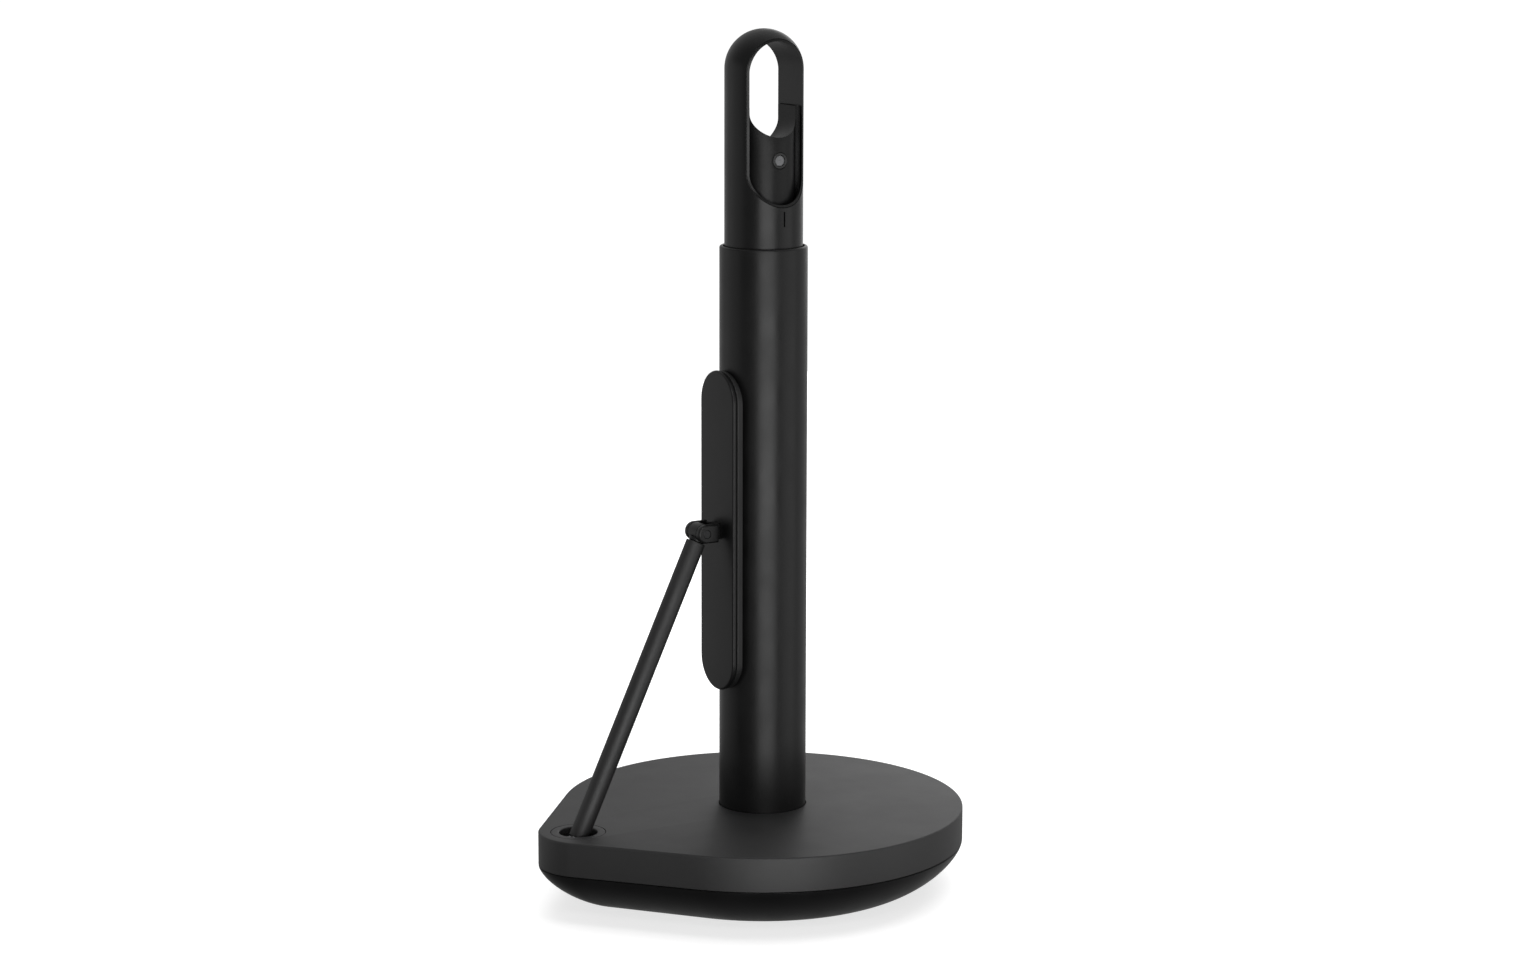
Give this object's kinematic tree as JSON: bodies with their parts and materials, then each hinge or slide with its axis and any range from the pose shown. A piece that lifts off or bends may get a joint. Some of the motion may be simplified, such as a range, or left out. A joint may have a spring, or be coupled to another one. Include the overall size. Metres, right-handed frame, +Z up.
{
  "type": "paper towel holder",
  "caption": "Weighted teardrop base with a tubular post, a sprung arm and pad that press on the roll, and a lift-out spray pump with a finger loop.",
  "frame": {"origin": "on the post's axis, at the underside of the rubber foot", "axes": "+Z up along the post, -X towards the tip of the teardrop where the arm stands, finger loop open along Y"},
  "size_m": [0.1865, 0.167, 0.3548],
  "materials": {
    "matte_black": "satin black moulded plastic with a fine spark texture",
    "gloss_black": "smooth semi-gloss black moulded plastic",
    "painted_black": "fine satin black powder coat",
    "rubber": "matt black rubber",
    "steel": "plain bright steel",
    "cast_iron": "grey iron under a thin black dip",
    "grey_plastic": "mid grey moulded plastic",
    "frosted_plastic": "frosted natural plastic"
  },
  "bodies": {
    "base": {"base_cover": "matte_black", "base_bowl": "gloss_black", "foot_pad": "rubber", "ballast_plate": "cast_iron", "post_socket": "cast_iron", "post_tube": "painted_black", "post_bush": "matte_black", "arm_hole_ring": "matte_black", "arm_bracket": "steel", "arm_pivot_pin": "steel", "base_screw_1": "steel", "base_screw_2": "steel", "base_screw_3": "steel", "base_screw_4": "steel", "socket_screw_1": "steel", "socket_screw_2": "steel", "socket_screw_3": "steel", "bracket_screw_1": "steel", "bracket_screw_2": "steel", "tube_screw_1": "steel", "tube_screw_2": "steel"},
    "arm": {"arm_foot": "steel", "arm_tube": "painted_black", "arm_head": "painted_black", "arm_spring_1": "steel", "arm_spring_2": "steel"},
    "pad": {"pad_carrier": "matte_black", "pad_facing": "rubber", "pad_clevis": "painted_black", "clevis_pin": "steel", "clevis_screw_1": "steel", "clevis_screw_2": "steel"},
    "pump_head": {"handle_shell": "matte_black", "spray_bottle": "frosted_plastic", "pump_collar": "matte_black", "neck_gasket": "rubber", "pump_barrel": "frosted_plastic", "dip_tube": "frosted_plastic", "inlet_ball": "steel"},
    "button": {"pump_button": "matte_black", "nozzle_bezel": "matte_black", "nozzle_insert": "grey_plastic", "pump_piston": "frosted_plastic", "return_spring": "steel"}
  },
  "joints": [
    {"name": "arm_swing", "type": "hinge", "parent": "base", "child": "arm", "pos_m": [-0.0892, 0, 0.0275], "axis": [0, -1, 0], "range_deg": [0, 24], "stiffness_Nm_per_rad": 0.35, "springref_deg": -34.38},
    {"name": "pad_tilt", "type": "hinge", "parent": "arm", "child": "pad", "pos_m": [-0.0302, 0, 0.15175], "axis": [0, -1, 0], "range_deg": [-26, 0]},
    {"name": "pump_lift", "type": "slide", "parent": "base", "child": "pump_head", "axis": [0, 0, 1], "range_m": [0, 0.2]},
    {"name": "pump_press", "type": "slide", "parent": "pump_head", "child": "button", "axis": [0, 0, -1], "range_m": [0, 0.007], "stiffness_N_per_m": 600, "springref_m": -0.004, "deforming": ["return_spring"]}
  ],
  "couplings": [
    {"joint": "pad_tilt", "follows": "arm_swing", "ratio": -1}
  ]
}
